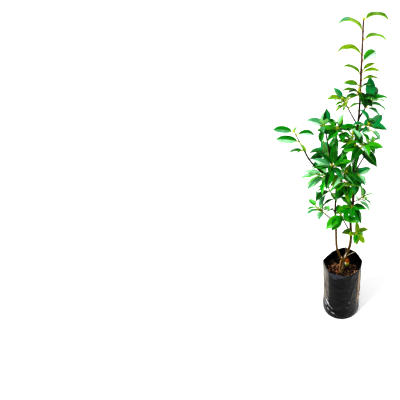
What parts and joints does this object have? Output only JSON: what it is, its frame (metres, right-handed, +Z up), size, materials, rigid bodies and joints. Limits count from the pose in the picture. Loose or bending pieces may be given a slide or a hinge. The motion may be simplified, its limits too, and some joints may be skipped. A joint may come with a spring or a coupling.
{
  "type": "young camellia shrub in a grow bag",
  "caption": "Slender young evergreen shrub with two stems and glossy leaves, rooted in potting mix in a black film grow bag.",
  "frame": {"origin": "middle of the bag's flat underside", "axes": "+Z up along the plant, -Y towards the side that the picture shows, +X to the viewer's right"},
  "size_m": [0.302, 0.2212, 1.0082],
  "materials": {
    "film": "thin black polythene film, creased, soft gloss",
    "potting_mix": "damp potting mix with coir and bark",
    "old_bark": "matt greyish-brown bark",
    "young_bark": "smooth brown young bark",
    "foliage_young": "young yellow-green leaves, glossy",
    "foliage_mid": "mature green leaves, glossy",
    "foliage_deep": "old dark green leaves, glossy"
  },
  "bodies": {
    "root": {"grow_bag": "film", "potting_mix": "potting_mix", "trunk": "old_bark", "right_stem": "young_bark", "left_stem": "young_bark", "upper_right_bough": "young_bark", "upper_left_bough": "young_bark", "mid_right_bough": "young_bark", "mid_left_bough": "young_bark", "front_right_bough": "young_bark", "right_bough": "young_bark", "back_left_bough": "young_bark", "front_bough": "young_bark", "low_bough": "young_bark", "far_left_bough": "young_bark", "low_left_bough": "young_bark", "back_bough": "young_bark", "back_low_bough": "young_bark", "left_spur": "young_bark", "dead_twig": "young_bark", "dead_twig_short": "young_bark", "leader_leaves": "foliage_young", "leader_foot_leaves": "foliage_deep", "upper_right_leaves": "foliage_mid", "upper_left_leaves": "foliage_young", "mid_right_leaves": "foliage_mid", "mid_left_leaves": "foliage_mid", "front_right_leaves": "foliage_mid", "right_leaves": "foliage_mid", "back_left_leaves": "foliage_mid", "front_leaves": "foliage_mid", "right_centre_leaves": "foliage_mid", "lower_right_leaves": "foliage_mid", "lower_front_leaves": "foliage_mid", "low_leaves": "foliage_mid", "low_right_leaves": "foliage_young", "far_left_leaves": "foliage_mid", "left_top_leaves": "foliage_mid", "left_centre_leaves": "foliage_mid", "left_fan_leaves": "foliage_mid", "left_inner_leaves": "foliage_mid", "low_left_leaves": "foliage_mid", "back_leaves": "foliage_mid", "back_low_leaves": "foliage_mid", "back_left_stem_leaves": "foliage_mid"}
  },
  "joints": []
}
